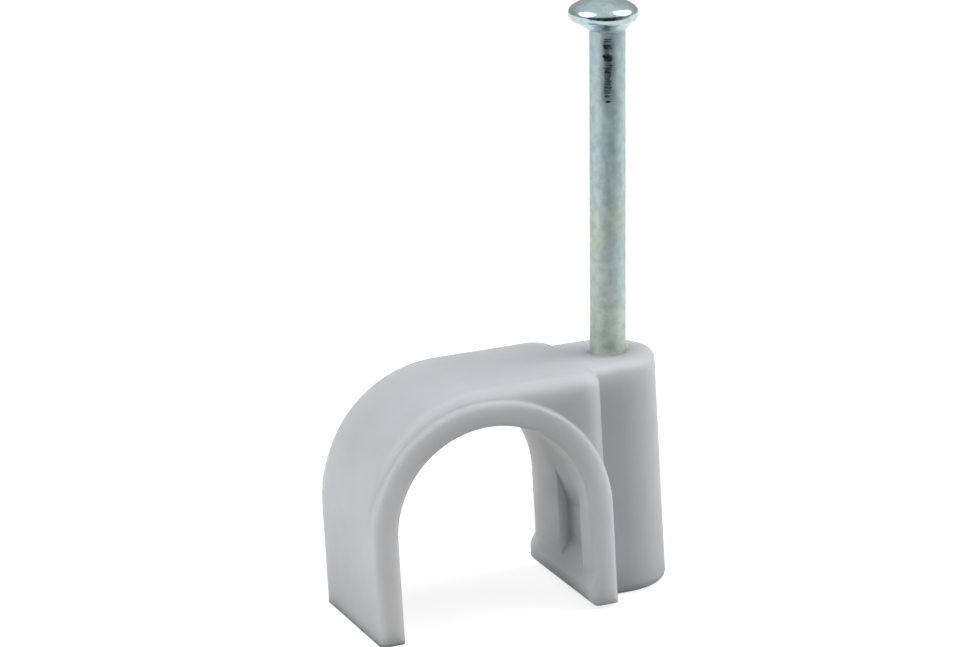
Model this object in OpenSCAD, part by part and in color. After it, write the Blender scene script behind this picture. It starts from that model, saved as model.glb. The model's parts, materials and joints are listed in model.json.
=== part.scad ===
// Nail-in clip for one round cable.
// A moulded saddle hooks over the cable, and a hardened nail waits in the boss beside it.
// The cable's axis is Y, at the origin. The wall lies below, and +Z points away from it.

/* [Channel] */
// Diameter of the round channel
channel_d = 11.1; // [10.6:0.1:11.4]
// Height of the cable's axis over the wall
seat_h = 5.85; // [5.6:0.05:6.6]
// Depth of the clip along the cable
depth = 9.1; // [9:0.1:10]

/* [Rim] */
// Wall thickness of the rim that lines the channel
rim_t = 1.45; // [1.3:0.05:1.7]
// Rounding of the rim's edges
rim_round = 0.3; // [0.2:0.05:0.3]

/* [Outer band] */
// Height of the band's flat crown over the rim's crown
crown_rise = 0.45; // [0.3:0.05:0.45]
// Step from the rim's front face back to the band's
front_step = 0.4; // [0.35:0.05:0.45]
// Rounding of the band's upper edges
band_round = 0.8; // [0.8:0.05:0.9]

/* [Nail boss] */
// Distance from the cable's axis to the boss's axis
boss_x = 8.4; // [8.2:0.1:8.8]
// Diameter of the boss, and width of the bridge that joins it to the band
boss_d = 6; // [5.6:0.1:6.1]
// Rounding of the boss's top and bottom edges
boss_round = 0.5; // [0.3:0.05:0.8]

/* [Foot beside the boss] */
// Gap between this foot and the wall
foot_lift = 0.2; // [0.1:0.05:0.4]
// Height of the ledge that runs along the foot
ledge_h = 1.6; // [1.4:0.05:1.9]
// Reach of the ledge into the channel
ledge_reach = 0.3; // [0.2:0.05:0.35]
// Drop of the ledge's sloping top over that reach
ledge_slope = 0.55; // [0.4:0.05:0.6]
// Rounding of the ledge's ends
ledge_round = 0.15; // [0.1:0.05:0.2]
// Rounding under the ledge, which guides the cable in
ledge_lead = 0.6; // [0.4:0.1:1]

/* [Pocket above the ledge] */
// Width of the pocket along the cable
pocket_w = 3.3; // [2.8:0.1:3.6]
// Distance of the pocket's middle from the clip's, towards the front
pocket_shift = 1.35; // [1.1:0.05:1.45]
// Depth of the pocket behind the channel's wall
pocket_d = 0.55; // [0.5:0.05:0.8]
// Height over the cable's axis at which the pocket runs out into the channel
pocket_top = 1.1; // [0.8:0.1:1.2]
// Length of the slope by which it runs out
pocket_slope = 2; // [1.6:0.1:2]

/* [Nail] */
// Distance from the cable's axis to the nail's axis, at the top of the boss
nail_x = 8.85; // [8.7:0.05:9]
// Lean of the nail and its bore, away from the cable
nail_lean = 3; // [2:0.5:4]
// Diameter of the shank
nail_d = 2; // [1.8:0.05:2.2]
// Length of the nail, head and point included
nail_l = 25; // [24:0.5:28]
// Length of the point
point_l = 2.4; // [1.5:0.1:3]
// Diameter of the head
head_d = 3.9; // [3.5:0.1:4.2]
// Offset of the upset head from the shank's axis, towards the cable
head_shift = 0.25; // [0.1:0.05:0.3]
// Height from the shank's end, over the cone under the head, to the middle of the head's rounded edge
neck_h = 0.95; // [0.85:0.05:1.2]
// Radius of the head's rounded edge
edge_r = 0.5; // [0.4:0.05:0.6]
// Radius of the head's domed top
dome_r = 3; // [2.8:0.1:4]
// Length of the nail that stands out of the boss before it is driven
nail_out = 20.05; // [17:0.05:20.5]
// Radial clearance of the nail in its bore
nail_gap = 0.06; // [0.04:0.01:0.08]

/* [Hidden] */
$fn = 96;
past = 1;
channel_r = channel_d / 2;
rim_r = channel_r + rim_t;
half = depth / 2;
band_front = -half + front_step;
// The band is sunk into the rim by all but this much of the rim's wall
band_sink = 0.2;
band_r = channel_r + band_sink;
top_z = rim_r + crown_rise;
foot_z = -seat_h + foot_lift;
ledge_x = channel_r - ledge_reach;
ledge_top = foot_z + ledge_h;
boss_r = boss_d / 2;
nail_r = nail_d / 2;
bore_r = nail_r + nail_gap;
bore_l = (seat_h + top_z) / cos(nail_lean);
tip_z = nail_out - nail_l;
// The head's rounded edge is an arc about this radius and height, which its dome meets smoothly
edge_x = head_d / 2 - edge_r;
dome_z = nail_out - dome_r;
edge_rise = sqrt(pow(dome_r - edge_r, 2) - edge_x * edge_x);
edge_z = dome_z + edge_rise;
dome_x = edge_x * dome_r / (dome_r - edge_r);
dome_low_z = dome_z + edge_rise * dome_r / (dome_r - edge_r);
// The cone under the head ends inside the rounded edge, at this share of its radius below its middle
cone_share = 0.75;
cone_inset = 0.04;
neck_z = edge_z - neck_h;
cone_h = neck_h - cone_share * edge_r;
cone_top_r = edge_x + edge_r * sqrt(1 - cone_share * cone_share) - cone_inset;

// What a rounding of radius r takes off an outline's corner at the origin, inward being along sx and sy
module corner_cut(r, sx, sy) {
    difference() {
        scale([sx, sy]) translate([-past, -past]) square(r + past);
        translate([sx * r, sy * r]) circle(r);
    }
}

// A rectangle whose corners have their own roundings, in the order of the four quadrants
module round_rect(x0, x1, y0, y1, radii) {
    corners = [[x1, y1, -1, -1], [x0, y1, 1, -1], [x0, y0, 1, 1], [x1, y0, -1, 1]];
    difference() {
        translate([x0, y0]) square([x1 - x0, y1 - y0]);
        for (i = [0:3])
            if (radii[i] > 0)
                translate([corners[i][0], corners[i][1]])
                    corner_cut(radii[i], corners[i][2], corners[i][3]);
    }
}

// Stands an outline drawn in X and Z on its plane and extrudes it along Y, from y0 to y1
module along_y(y0, y1) {
    translate([0, y1, 0]) rotate([90, 0, 0]) linear_extrude(y1 - y0) children();
}

// Turns a section drawn in radius and -Y about the cable's axis, from the angle a0 through the angle a
module around_y(a0, a) {
    rotate([90, 0, 0]) rotate_extrude(angle = a, start = a0) children();
}

// Section of the rim's wall on the boss's side
module rim_section() {
    round_rect(channel_r, rim_r, -half, half, [for (i = [0:3]) rim_round]);
}

// Section of the band in radius and -Y
module band_section() {
    round_rect(band_r, rim_r, -half, -band_front, [band_round, 0, 0, band_round]);
}

// The arch that lines the channel, with a leg down each side
module rim() {
    around_y(0, 180) rim_section();
    translate([0, 0, foot_z]) linear_extrude(-foot_z) rim_section();
    translate([0, 0, -seat_h]) linear_extrude(seat_h) mirror([1, 0]) rim_section();
}

// The quarter of the band over the hook, carried down into the hook's leg
module band_arc() {
    translate([0, 0, crown_rise]) around_y(90, 90) band_section();
    translate([0, 0, -crown_rise]) linear_extrude(2 * crown_rise) rotate(180) band_section();
}

// One side of the band's square half, which ends at the distance y_end along +Y in a rounded corner
module block_side(y_end) {
    corner = y_end - boss_r;
    radii = [band_round, 0, 0, 0];
    rotate([90, 0, 90]) linear_extrude(rim_r - corner) round_rect(0, y_end, foot_z, top_z, radii);
    translate([rim_r - corner, boss_r, 0]) rotate_extrude(angle = 90)
        round_rect(0, corner, foot_z, top_z, radii);
    along_y(0, boss_r) round_rect(rim_r - corner, rim_r, foot_z, top_z, radii);
}

// The upright boss that guides the nail, and the bridge of the same width from the band to it
module boss() {
    bridge_x = rim_r - band_round;
    translate([boss_x, 0, 0]) rotate_extrude(angle = 180, start = -90)
        round_rect(0, boss_r, -seat_h, top_z, [boss_round, 0, 0, boss_round]);
    translate([bridge_x, 0, 0]) rotate([90, 0, 90]) linear_extrude(boss_x - bridge_x)
        round_rect(-boss_r, boss_r, -seat_h, top_z, [for (i = [0:3]) boss_round]);
}

// The square half of the band, from the crown across to the boss and down to the foot
module band_block() {
    difference() {
        union() {
            block_side(half);
            mirror([0, 1, 0]) block_side(-band_front);
        }
        around_y(0, 360) translate([0, -depth]) square([band_r, 2 * depth]);
        translate([-past, -depth, -seat_h]) cube([band_r + past, 2 * depth, seat_h]);
    }
}

// Height of the ledge's sloping top, and of the ramp that carries it on into the pocket, at the distance x
function slope_z(x) = ledge_top + (x - channel_r) * ledge_slope / ledge_reach;

// The ledge along the foot, which keeps the cable in. Its top slopes down from the channel's wall
module ledge() {
    low_x = ledge_x - past;
    high_x = channel_r + rim_t / 2;
    intersection() {
        translate([0, 0, foot_z]) linear_extrude(2 * ledge_h)
            round_rect(ledge_x, rim_r, -half, half, [for (i = [0:3]) ledge_round]);
        along_y(-depth, depth) polygon([
            [low_x, slope_z(low_x)],
            [low_x, slope_z(low_x) - ledge_h],
            [high_x, slope_z(low_x) - ledge_h],
            [high_x, slope_z(high_x)]
        ]);
    }
}

// What the rounding under the ledge takes away
module lead_in() {
    along_y(-depth, depth) translate([ledge_x, foot_z]) corner_cut(ledge_lead, 1, 1);
}

// Places what is drawn about Z on the nail's leaning axis, with Z = 0 at the top of the boss
module on_nail() {
    translate([nail_x, 0, top_z]) rotate([0, nail_lean, 0]) children();
}

// The pocket over the ledge, whose slope is its ramp. Its floor slopes back into the channel above
module pocket() {
    mouth_x = channel_r - past;
    floor_x = channel_r + pocket_d;
    floor_top = pocket_top - pocket_slope;
    run_x = sqrt(channel_r * channel_r - pocket_top * pocket_top);
    // The slope is carried on past the channel's wall by a quarter of its length
    carry = 1.25;
    along_y(-pocket_shift - pocket_w / 2, -pocket_shift + pocket_w / 2) polygon([
        [mouth_x, ledge_top],
        [channel_r, ledge_top],
        [floor_x, slope_z(floor_x)],
        [floor_x, floor_top],
        [floor_x + carry * (run_x - floor_x), floor_top + carry * pocket_slope],
        [mouth_x, floor_top + carry * pocket_slope]
    ]);
}

module clip_body() {
    color([0.78, 0.80, 0.83]) difference() {
        union() {
            rim();
            band_arc();
            band_block();
            boss();
            ledge();
        }
        lead_in();
        pocket();
        on_nail() translate([0, 0, -bore_l - past]) cylinder(h = bore_l + 2 * past, r = bore_r);
    }
}

// Half of the shank's outline, with its point
module shank_outline() {
    polygon([[0, tip_z], [nail_r, tip_z + point_l], [nail_r, edge_z], [0, edge_z]]);
}

// The cone under the head, which leans from the shank's axis to the head's
module neck() {
    spread = (cone_top_r - nail_r) / cone_h;
    // The cone begins this much lower, inside the shank
    sunk = 0.1;
    lean = [[1, 0, -head_shift / cone_h, 0], [0, 1, 0, 0], [0, 0, 1, 0], [0, 0, 0, 1]];
    translate([0, 0, neck_z]) multmatrix(lean) translate([0, 0, -sunk])
        cylinder(h = cone_h + sunk, r1 = nail_r - sunk * spread, r2 = cone_top_r);
}

// Half of the head's outline
module head_outline() {
    polygon([
        [0, edge_z - edge_r],
        [edge_x, edge_z - edge_r],
        [edge_x, edge_z],
        [dome_x, dome_low_z],
        [0, dome_low_z]
    ]);
    translate([edge_x, edge_z]) circle(edge_r);
    intersection() {
        translate([0, dome_low_z]) square([dome_x, dome_r]);
        translate([0, dome_z]) circle(dome_r);
    }
}

module nail() {
    color([0.62, 0.68, 0.69]) on_nail() {
        rotate_extrude() shank_outline();
        neck();
        translate([-head_shift, 0, 0]) rotate_extrude() head_outline();
    }
}

clip_body();
nail();
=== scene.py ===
"""Looks of the nail-in cable clip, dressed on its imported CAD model.

Everything is in metres, in the CAD model's own frame: +X from the hook to the nail, +Y along the
cable and +Z away from the wall.
"""
import json
import math
import random

import bmesh
import bpy
from mathutils import Matrix, Vector


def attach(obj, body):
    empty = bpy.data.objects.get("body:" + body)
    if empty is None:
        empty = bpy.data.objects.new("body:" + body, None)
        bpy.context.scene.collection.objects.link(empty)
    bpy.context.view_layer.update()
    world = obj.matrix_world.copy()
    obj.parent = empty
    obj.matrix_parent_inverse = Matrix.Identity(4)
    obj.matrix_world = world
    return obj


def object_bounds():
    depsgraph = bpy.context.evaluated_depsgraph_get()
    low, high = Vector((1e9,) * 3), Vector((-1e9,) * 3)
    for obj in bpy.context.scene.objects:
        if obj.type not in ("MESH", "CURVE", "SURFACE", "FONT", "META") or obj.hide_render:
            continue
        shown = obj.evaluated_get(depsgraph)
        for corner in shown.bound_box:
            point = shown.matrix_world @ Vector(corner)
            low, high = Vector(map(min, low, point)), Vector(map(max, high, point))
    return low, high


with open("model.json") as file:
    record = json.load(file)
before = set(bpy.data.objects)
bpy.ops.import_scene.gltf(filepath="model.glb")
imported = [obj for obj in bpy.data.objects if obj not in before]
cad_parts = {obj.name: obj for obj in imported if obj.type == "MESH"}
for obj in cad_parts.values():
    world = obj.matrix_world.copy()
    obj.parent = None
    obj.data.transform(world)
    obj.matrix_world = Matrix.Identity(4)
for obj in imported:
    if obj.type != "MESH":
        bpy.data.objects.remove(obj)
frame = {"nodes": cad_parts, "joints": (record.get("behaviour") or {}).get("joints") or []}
cad_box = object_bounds()

MM = 0.001

# The photograph's frame
IMAGE_W = 970
SENSOR_W = 36.0

# The camera: where it stands round the clip, how far off, and how far its aim lies from the
# cable's axis
CAMERA_AZIMUTH = math.radians(-19.81)
CAMERA_ELEVATION = math.radians(15.70)
CAMERA_ROLL = math.radians(-3.37)
CAMERA_DISTANCE = 261.5 * MM
PIXELS_PER_MM = 18.057
AIM_RIGHT = 1.604 * MM
AIM_UP = 9.878 * MM
CLIP_START = 10 * MM

# The nail's shank: its radius, a point on its axis at the top of the boss, its direction towards
# the head, and how far along that direction the point lies
NAIL_R = 1 * MM
NAIL_FOOT = Vector((8.85, 0, 7.45)) * MM
NAIL_UP = -Vector(frame["joints"][0]["axis"]).normalized()
NAIL_LEVEL = NAIL_FOOT.dot(NAIL_UP)

# Procedural noise: its usual detail, and the stretch of its values that is usually spread out.
# Every scale of a noise is in patches per metre.
NOISE_DETAIL = 3
NOISE_SPAN = (0.3, 0.7)

# The grey plastic: its two tones, its gloss and its moulded grain
PLASTIC_TONES = ((0.522, 0.532, 0.562), (0.546, 0.563, 0.605))
PLASTIC_TONE_SCALE = 240
PLASTIC_ROUGHNESS = (0.4, 0.52)
PLASTIC_GLOSS_SCALE = 900
PLASTIC_IOR = 1.5
PLASTIC_GRAIN_SCALE = 6000
PLASTIC_GRAIN_DETAIL = 2
PLASTIC_GRAIN_STRENGTH = 0.08
PLASTIC_GRAIN_DEPTH = 0.02 * MM

# How far light spreads in the plastic, with the shares of red, green and blue
LIGHT_SPREAD = 4 * MM
LIGHT_SPREAD_SHARES = (1, 0.95, 0.9)

# How far the plastic's sharp edges are softened in its shading
EDGE_R = 0.25 * MM
EDGE_SAMPLES = 6

# The nail's passivated zinc: olive, sage and teal, which follow each other in clouds along this
# stretch over the boss
ZINC_TINTS = ((0.51, 0.56, 0.48), (0.47, 0.56, 0.54), (0.43, 0.55, 0.59))
TINT_MIDDLE = 0.5
TINT_SPAN = (2 * MM, 12 * MM)
TINT_CLIMB = (0, 0.6)
CLOUD_SCALE = 220
CLOUD_SHIFT = (-0.2, 0.6)

# The fine mottling of the zinc
MOTTLE_SCALE = 2200
MOTTLE_DETAIL = 4
MOTTLE_SPAN = (0.35, 0.6)
MOTTLE_TONE = (0.86, 1.04)

# The shank is satin, with a grain drawn out along it, and the forged head is polished: the stretch
# over the boss along which the polish sets in, and how much roughness it takes away
SATIN_ROUGHNESS = (0.5, 0.62)
DRAWN_OUT = (1, 1, 0.15)
DRAWN_SCALE = 4000
DRAWN_STRENGTH = 0.12
DRAWN_DEPTH = 0.02 * MM
HEAD_SPAN = (18 * MM, 18.6 * MM)
HEAD_POLISH = (0, 0.34)

# The marks that the forging grips leave under the nail's head, in bands of ridges: lowest and
# highest ridge in millimetres over the boss, number of ridges, half of each one's angle round the
# shank in degrees, and half of its width in millimetres
GRIP_BANDS = (
    (14.35, 14.62, 2, 11, 0.1),
    (14.85, 16.1, 11, 12, 0.12),
    (16.22, 16.38, 2, 14, 0.12),
    (16.62, 16.85, 3, 17, 0.13),
    (17.3, 17.42, 2, 16, 0.11),
    (17.68, 17.8, 2, 16, 0.03),
)
# The side of the shank that they are on, how far they stand out, and how far one may lie off the
# middle of its row
GRIP_SIDE = CAMERA_AZIMUTH - math.radians(1)
GRIP_PROUD = 0.03 * MM
GRIP_SCATTER = math.radians(2)
# How uneven the ridges are: shares of their pitch, their angle and their width
GRIP_SEED = 7
GRIP_SHIFTS = (-0.3, 0.3)
GRIP_ANGLES = (0.75, 1.1)
GRIP_WIDTHS = (0.7, 1.2)
# A ridge is cut into steps along its length. Its section goes across it, as shares of half its
# width and of how far it stands out, with its edges sunk into the shank.
RIDGE_STEPS = 10
RIDGE_SECTION = ((-1, -0.2), (-0.5, 0.8), (0.5, 0.8), (1, -0.2))
RIDGE_MERGE = 0.001 * MM

# The dark steel of the marks
GRIP_TONES = ((0.012, 0.02, 0.024), (0.15, 0.2, 0.215))
GRIP_TONE_SCALE = 2500
GRIP_TONE_SPAN = (0.4, 0.68)
GRIP_ROUGHNESS = (0.3, 0.5)
GRIP_GLOSS_SCALE = 3000

# The soft grey smear round the marks: the stretches over the boss along which it sets in and ends,
# the distances from the middle of the row between which it fades, and the share of the zinc's
# brightness that it leaves
SMEAR_START = (13.7 * MM, 14.8 * MM)
SMEAR_END = (17.6 * MM, 18 * MM)
SMEAR_FADE = (0.16 * MM, 0.46 * MM)
SMEAR_TONE = 0.36
SMEAR_SCALE = 2600
SMEAR_DETAIL = 4
SMEAR_SPAN = (0.3, 0.62)
SMEAR_RAGGED = (0.3, 1)

# The soft lamps: how far off and how wide they are, and for each one its azimuth and elevation in
# degrees, its power in watts, and whether metal shows it
LAMP_DISTANCE = 1.2
LAMP_SIZE = 1.2
LAMPS = (
    ("lamp_left", -85, 38, 8.8, True),
    ("lamp_right", 67, 38, 12.6, True),
    ("lamp_back", -140, 35, 4.8, False),
)

# The rest of the room: how much light it throws on dull surfaces, and how bright metal shows it low
# down, overhead, and low down in front of the clip
ROOM_GLOW = 0.16
ROOM_LOW = 0.5
ROOM_HIGH = 0.9
ROOM_FRONT = 0.02
# Where one gives way to the other: how far a direction points to the front, and how far upwards it
# points, round the clip and in front of it
FRONT_SPAN = (0.2, 0.7)
AROUND_SPAN = (0.35, 0.85)
AHEAD_SPAN = (0.1, 0.35)

# The floor: how far it reaches in front of the clip and elsewhere, and how far under the feet it is
FLOOR_FRONT = 45 * MM
FLOOR_REACH = 600 * MM
FLOOR_GAP = 0.02 * MM
# Its colour in the light that it throws back, its colour where it is seen, how much it glows to the
# camera and in metal, and the length a mirrored ray needs to show the whole glow: nearer surfaces see
# less of it, a painted shadow in the floor's reflection close to the clip
FLOOR_BOUNCE = (0.41, 0.4, 0.35)
FLOOR_SHADE = (0.4, 0.4, 0.4)
FLOOR_GLOW = 0.78
FLOOR_MIRRORED = 0.85
FLOOR_PAINTED_SHADOW_REACH = 15 * MM


def heading(azimuth, elevation):
    """A direction from the clip: azimuth 0 is the front, -Y, and turns towards +X."""
    return Vector((
        math.sin(azimuth) * math.cos(elevation),
        -math.cos(azimuth) * math.cos(elevation),
        math.sin(elevation),
    ))


def make_camera():
    back = heading(CAMERA_AZIMUTH, CAMERA_ELEVATION)
    right = Vector((0, 0, 1)).cross(back).normalized()
    up = back.cross(right)
    place = right * AIM_RIGHT + up * AIM_UP + back * CAMERA_DISTANCE
    turn = Matrix((right, up, back)).transposed() @ Matrix.Rotation(CAMERA_ROLL, 3, "Z")
    data = bpy.data.cameras.new("camera")
    data.sensor_width = SENSOR_W
    data.lens = SENSOR_W * PIXELS_PER_MM * CAMERA_DISTANCE / MM / IMAGE_W
    data.clip_start = CLIP_START
    camera = bpy.data.objects.new("camera", data)
    camera.matrix_world = Matrix.Translation(place) @ turn.to_4x4()
    bpy.context.scene.collection.objects.link(camera)
    bpy.context.scene.camera = camera


def add_node(tree, kind, inputs=None, **settings):
    """A node with its settings and its inputs, each of them a value or another node's output."""
    node = tree.nodes.new(kind)
    for name, value in settings.items():
        setattr(node, name, value)
    for name, value in (inputs or {}).items():
        if isinstance(value, bpy.types.NodeSocket):
            tree.links.new(value, node.inputs[name])
        else:
            node.inputs[name].default_value = value
    return node


def new_material(name):
    """A material with a Principled shader, its tree, that shader and the object's own coordinates."""
    material = bpy.data.materials.new(name)
    material.use_nodes = True
    tree = material.node_tree
    coords = add_node(tree, "ShaderNodeTexCoord").outputs["Object"]
    return material, tree, tree.nodes["Principled BSDF"], coords


def noise(tree, coords, scale, detail=NOISE_DETAIL):
    inputs = {"Vector": coords, "Scale": scale, "Detail": detail}
    return add_node(tree, "ShaderNodeTexNoise", inputs).outputs["Fac"]


def colour_range(tree, factor, span, colours):
    """A colour that goes from the first to the last of two as factor goes through its span."""
    ramp = add_node(tree, "ShaderNodeValToRGB", {"Fac": factor})
    for stop, position, colour in zip(ramp.color_ramp.elements, span, colours):
        stop.position = position
        stop.color = (*colour, 1)
    return ramp.outputs["Color"]


def value_range(tree, value, span, results):
    """A number that goes from the first to the last of two results as value goes through its span."""
    inputs = {
        "Value": value,
        "From Min": span[0],
        "From Max": span[1],
        "To Min": results[0],
        "To Max": results[1],
    }
    return add_node(tree, "ShaderNodeMapRange", inputs).outputs["Result"]


def maths(tree, operation, first, second=0):
    return add_node(tree, "ShaderNodeMath", {0: first, 1: second}, operation=operation).outputs[0]


def mix_values(tree, factor, first, last):
    """A number between two others. A Mix node's sockets share their names, so they go by number."""
    inputs = {0: factor, 2: first, 3: last}
    return add_node(tree, "ShaderNodeMix", inputs, data_type="FLOAT").outputs[0]


def shade(tree, colour, tone):
    """A colour, made darker or lighter by a tone."""
    inputs = {0: 1, 6: colour, 7: tone}
    node = add_node(tree, "ShaderNodeMix", inputs, data_type="RGBA", blend_type="MULTIPLY")
    return node.outputs[2]


def reach_along(tree, vector, direction):
    """How far a vector reaches along a direction."""
    inputs = {0: vector, 1: direction}
    return add_node(tree, "ShaderNodeVectorMath", inputs, operation="DOT_PRODUCT").outputs["Value"]


def over_boss(span):
    """Heights over the boss, as they are measured along the nail from the frame's origin."""
    return [NAIL_LEVEL + height for height in span]


def bump(tree, shader, height, strength, depth, normal=None):
    inputs = {"Height": height, "Strength": strength, "Distance": depth}
    node = add_node(tree, "ShaderNodeBump", inputs)
    if normal:
        tree.links.new(normal, node.inputs["Normal"])
    tree.links.new(node.outputs["Normal"], shader.inputs["Normal"])


def plastic_material():
    """Satin grey polyethylene, a little translucent, uneven in tone and gloss, with a fine grain."""
    material, tree, shader, coords = new_material("moulded_plastic")
    tone_patches = noise(tree, coords, PLASTIC_TONE_SCALE)
    tone = colour_range(tree, tone_patches, NOISE_SPAN, PLASTIC_TONES)
    tree.links.new(tone, shader.inputs["Base Color"])
    gloss_patches = noise(tree, coords, PLASTIC_GLOSS_SCALE)
    roughness = value_range(tree, gloss_patches, NOISE_SPAN, PLASTIC_ROUGHNESS)
    tree.links.new(roughness, shader.inputs["Roughness"])
    shader.inputs["IOR"].default_value = PLASTIC_IOR
    shader.inputs["Subsurface Weight"].default_value = 1
    shader.inputs["Subsurface Radius"].default_value = LIGHT_SPREAD_SHARES
    shader.inputs["Subsurface Scale"].default_value = LIGHT_SPREAD
    soft = add_node(tree, "ShaderNodeBevel", {"Radius": EDGE_R}, samples=EDGE_SAMPLES)
    grain = noise(tree, coords, PLASTIC_GRAIN_SCALE, PLASTIC_GRAIN_DETAIL)
    bump(tree, shader, grain, PLASTIC_GRAIN_STRENGTH, PLASTIC_GRAIN_DEPTH, soft.outputs["Normal"])
    return material


def smear(tree, coords, height):
    """How strong the smear is: up to 1 along the two rows of grip marks, and ragged beside them."""
    across = NAIL_UP.cross(heading(GRIP_SIDE, 0)).normalized()
    reach = reach_along(tree, coords, across)
    offset = maths(tree, "ABSOLUTE", maths(tree, "SUBTRACT", reach, NAIL_FOOT.dot(across)))
    beside = value_range(tree, offset, SMEAR_FADE, (1, 0))
    above = value_range(tree, height, over_boss(SMEAR_START), (0, 1))
    below = value_range(tree, height, over_boss(SMEAR_END), (1, 0))
    ragged = value_range(
        tree, noise(tree, coords, SMEAR_SCALE, SMEAR_DETAIL), SMEAR_SPAN, SMEAR_RAGGED)
    strength = maths(tree, "MULTIPLY", beside, ragged)
    return maths(tree, "MULTIPLY", strength, maths(tree, "MULTIPLY", above, below))


def zinc_material():
    """Bright zinc plating with cloudy tints, satin on the shank and polished on the head."""
    material, tree, shader, coords = new_material("zinc_plating")
    height = reach_along(tree, coords, NAIL_UP)

    climb = value_range(tree, height, over_boss(TINT_SPAN), TINT_CLIMB)
    cloud = value_range(tree, noise(tree, coords, CLOUD_SCALE), NOISE_SPAN, CLOUD_SHIFT)
    tint = add_node(tree, "ShaderNodeValToRGB", {"Fac": maths(tree, "ADD", climb, cloud)})
    tint.color_ramp.elements.new(TINT_MIDDLE)
    for stop, colour in zip(tint.color_ramp.elements, ZINC_TINTS):
        stop.color = (*colour, 1)

    mottle = value_range(
        tree, noise(tree, coords, MOTTLE_SCALE, MOTTLE_DETAIL), MOTTLE_SPAN, MOTTLE_TONE)
    smeared = value_range(tree, smear(tree, coords, height), (0, 1), (1, SMEAR_TONE))
    tone = maths(tree, "MULTIPLY", mottle, smeared)
    tree.links.new(shade(tree, tint.outputs["Color"], tone), shader.inputs["Base Color"])

    along = add_node(tree, "ShaderNodeMapping", {"Vector": coords, "Scale": DRAWN_OUT})
    grain = noise(tree, along.outputs["Vector"], DRAWN_SCALE)
    satin = value_range(tree, grain, NOISE_SPAN, SATIN_ROUGHNESS)
    polish = value_range(tree, height, over_boss(HEAD_SPAN), HEAD_POLISH)
    tree.links.new(maths(tree, "SUBTRACT", satin, polish), shader.inputs["Roughness"])
    shader.inputs["Metallic"].default_value = 1
    bump(tree, shader, grain, DRAWN_STRENGTH, DRAWN_DEPTH)
    return material


def grip_material():
    """The same steel in the grip marks, darkened by what gathers between them."""
    material, tree, shader, coords = new_material("grip_steel")
    tone_patches = noise(tree, coords, GRIP_TONE_SCALE)
    tone = colour_range(tree, tone_patches, GRIP_TONE_SPAN, GRIP_TONES)
    tree.links.new(tone, shader.inputs["Base Color"])
    gloss_patches = noise(tree, coords, GRIP_GLOSS_SCALE)
    roughness = value_range(tree, gloss_patches, NOISE_SPAN, GRIP_ROUGHNESS)
    tree.links.new(roughness, shader.inputs["Roughness"])
    shader.inputs["Metallic"].default_value = 1
    return material


def dress(node, material):
    """Gives a CAD node its finish."""
    piece = frame["nodes"][node]
    piece.data.materials.clear()
    piece.data.materials.append(material)


def add_grip_ridge(mesh, height, side, half_angle, half_width):
    """A low ridge across the shank, pointed at both ends and rounded between them."""
    rows = []
    for i in range(RIDGE_STEPS + 1):
        t = 2 * i / RIDGE_STEPS - 1
        swell = math.sqrt(max(0, 1 - t * t))
        out = heading(side + t * half_angle, 0)
        out = (out - NAIL_UP * out.dot(NAIL_UP)).normalized()
        row = []
        for width, rise in RIDGE_SECTION:
            up = NAIL_UP * (height + width * half_width * swell)
            row.append(mesh.verts.new(NAIL_FOOT + up + out * (NAIL_R + GRIP_PROUD * rise * swell)))
        rows.append(row)
    for low, high in zip(rows, rows[1:]):
        for a in range(len(RIDGE_SECTION) - 1):
            mesh.faces.new((low[a], high[a], high[a + 1], low[a + 1]))
    for low, high in zip(rows, rows[1:]):
        mesh.faces.new((low[0], low[-1], high[-1], high[0]))


def make_grip_marks(material):
    """The grips' marks on two opposite sides of the shank, each side a ragged row of low ridges."""
    draw = random.Random(GRIP_SEED)
    mesh = bmesh.new()
    for side in (GRIP_SIDE, GRIP_SIDE + math.pi):
        for low, high, count, half_angle, half_width in GRIP_BANDS:
            pitch = (high - low) / (count - 1)
            for i in range(count):
                height = (low + pitch * (i + draw.uniform(*GRIP_SHIFTS))) * MM
                spread = math.radians(half_angle * draw.uniform(*GRIP_ANGLES))
                lean = GRIP_SCATTER * draw.uniform(-1, 1)
                width = half_width * draw.uniform(*GRIP_WIDTHS) * MM
                add_grip_ridge(mesh, height, side + lean, spread, width)
    bmesh.ops.remove_doubles(mesh, verts=mesh.verts, dist=RIDGE_MERGE)
    bmesh.ops.recalc_face_normals(mesh, faces=mesh.faces)
    data = bpy.data.meshes.new("grip_marks")
    mesh.to_mesh(data)
    mesh.free()
    for face in data.polygons:
        face.use_smooth = True
    data.materials.append(material)
    marks = bpy.data.objects.new("grip_marks", data)
    bpy.context.scene.collection.objects.link(marks)
    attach(marks, "nail")


def ray_kinds(tree):
    """1 for what shows straight to the camera or through glass, 1 for what metal shows, and how long
    the ray is."""
    path = add_node(tree, "ShaderNodeLightPath").outputs
    straight = maths(tree, "MAXIMUM", path["Is Camera Ray"], path["Is Transmission Ray"])
    return straight, path["Is Glossy Ray"], path["Ray Length"]


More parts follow.
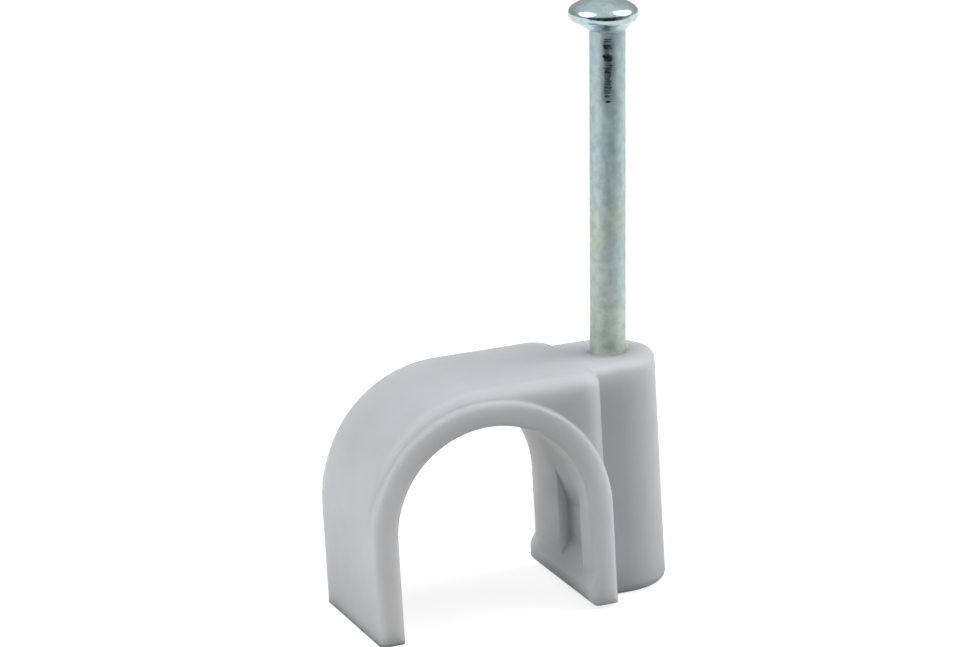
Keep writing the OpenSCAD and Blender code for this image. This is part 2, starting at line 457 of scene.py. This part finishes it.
def floor_material():
    """White to the camera, apart from the shadow, pale in metal, and greyer in what it throws back.
    Its glow in reflections fades out close to the clip, a painted contact shadow.
    """
    material, tree, shader, _ = new_material("floor_white")
    straight, glossy, length = ray_kinds(tree)
    seen = maths(tree, "MAXIMUM", straight, glossy)
    colour = colour_range(tree, seen, (0, 1), (FLOOR_BOUNCE, FLOOR_SHADE))
    tree.links.new(colour, shader.inputs["Base Color"])
    shader.inputs["Roughness"].default_value = 1
    shader.inputs["Specular IOR Level"].default_value = 0
    # Painted shadow: the glow that reflections show fades to nothing for rays shorter than this reach,
    # darkening the floor's reflection close to the clip
    clear = value_range(tree, length, (0, FLOOR_PAINTED_SHADOW_REACH), (0, FLOOR_MIRRORED))
    to_camera = maths(tree, "MULTIPLY", straight, FLOOR_GLOW)
    in_metal = maths(tree, "MULTIPLY", glossy, clear)
    strength = maths(tree, "MAXIMUM", to_camera, in_metal)
    glow = add_node(tree, "ShaderNodeEmission", {"Strength": strength})
    both = add_node(tree, "ShaderNodeAddShader", {0: shader.outputs[0], 1: glow.outputs[0]})
    tree.links.new(both.outputs[0], tree.nodes["Material Output"].inputs["Surface"])
    return material


def make_floor():
    """A pale floor under and behind the clip."""
    level = cad_box[0][2] - FLOOR_GAP
    corners = (
        (-FLOOR_REACH, -FLOOR_FRONT),
        (FLOOR_REACH, -FLOOR_FRONT),
        (FLOOR_REACH, FLOOR_REACH),
        (-FLOOR_REACH, FLOOR_REACH),
    )
    mesh = bmesh.new()
    mesh.faces.new([mesh.verts.new((x, y, level)) for x, y in corners])
    data = bpy.data.meshes.new("floor")
    mesh.to_mesh(data)
    mesh.free()
    data.materials.append(floor_material())
    floor = bpy.data.objects.new("floor", data)
    bpy.context.scene.collection.objects.link(floor)


def make_lamp(name, azimuth, elevation, power, mirrored):
    data = bpy.data.lights.new(name, "AREA")
    data.shape = "DISK"
    data.size = LAMP_SIZE
    data.energy = power
    lamp = bpy.data.objects.new(name, data)
    towards = heading(math.radians(azimuth), math.radians(elevation))
    lamp.location = towards * LAMP_DISTANCE
    lamp.rotation_euler = (-towards).to_track_quat("-Z", "Y").to_euler()
    lamp.visible_camera = False
    lamp.visible_glossy = mirrored
    bpy.context.scene.collection.objects.link(lamp)


def make_world():
    """A backdrop that is white to the camera, and dimmer in metal, with the dark room in front."""
    world = bpy.data.worlds.new("studio")
    world.use_nodes = True
    tree = world.node_tree
    direction = add_node(tree, "ShaderNodeTexCoord").outputs["Generated"]
    front = reach_along(tree, direction, heading(CAMERA_AZIMUTH, 0))
    height = add_node(tree, "ShaderNodeSeparateXYZ", {"Vector": direction}).outputs["Z"]
    facing = value_range(tree, front, FRONT_SPAN, (0, 1))
    around = value_range(tree, height, AROUND_SPAN, (ROOM_LOW, ROOM_HIGH))
    ahead = value_range(tree, height, AHEAD_SPAN, (ROOM_FRONT, ROOM_HIGH))
    mirrored = mix_values(tree, facing, around, ahead)
    straight, glossy, _ = ray_kinds(tree)
    room = mix_values(tree, glossy, ROOM_GLOW, mirrored)
    background = tree.nodes["Background"]
    tree.links.new(maths(tree, "MAXIMUM", straight, room), background.inputs["Strength"])
    background.inputs["Color"].default_value = (1, 1, 1, 1)
    bpy.context.scene.world = world


make_camera()
make_world()
for lamp_row in LAMPS:
    make_lamp(*lamp_row)
make_floor()
dress("clip_body", plastic_material())
dress("nail", zinc_material())
make_grip_marks(grip_material())

bpy.context.scene.view_settings.view_transform = "Standard"
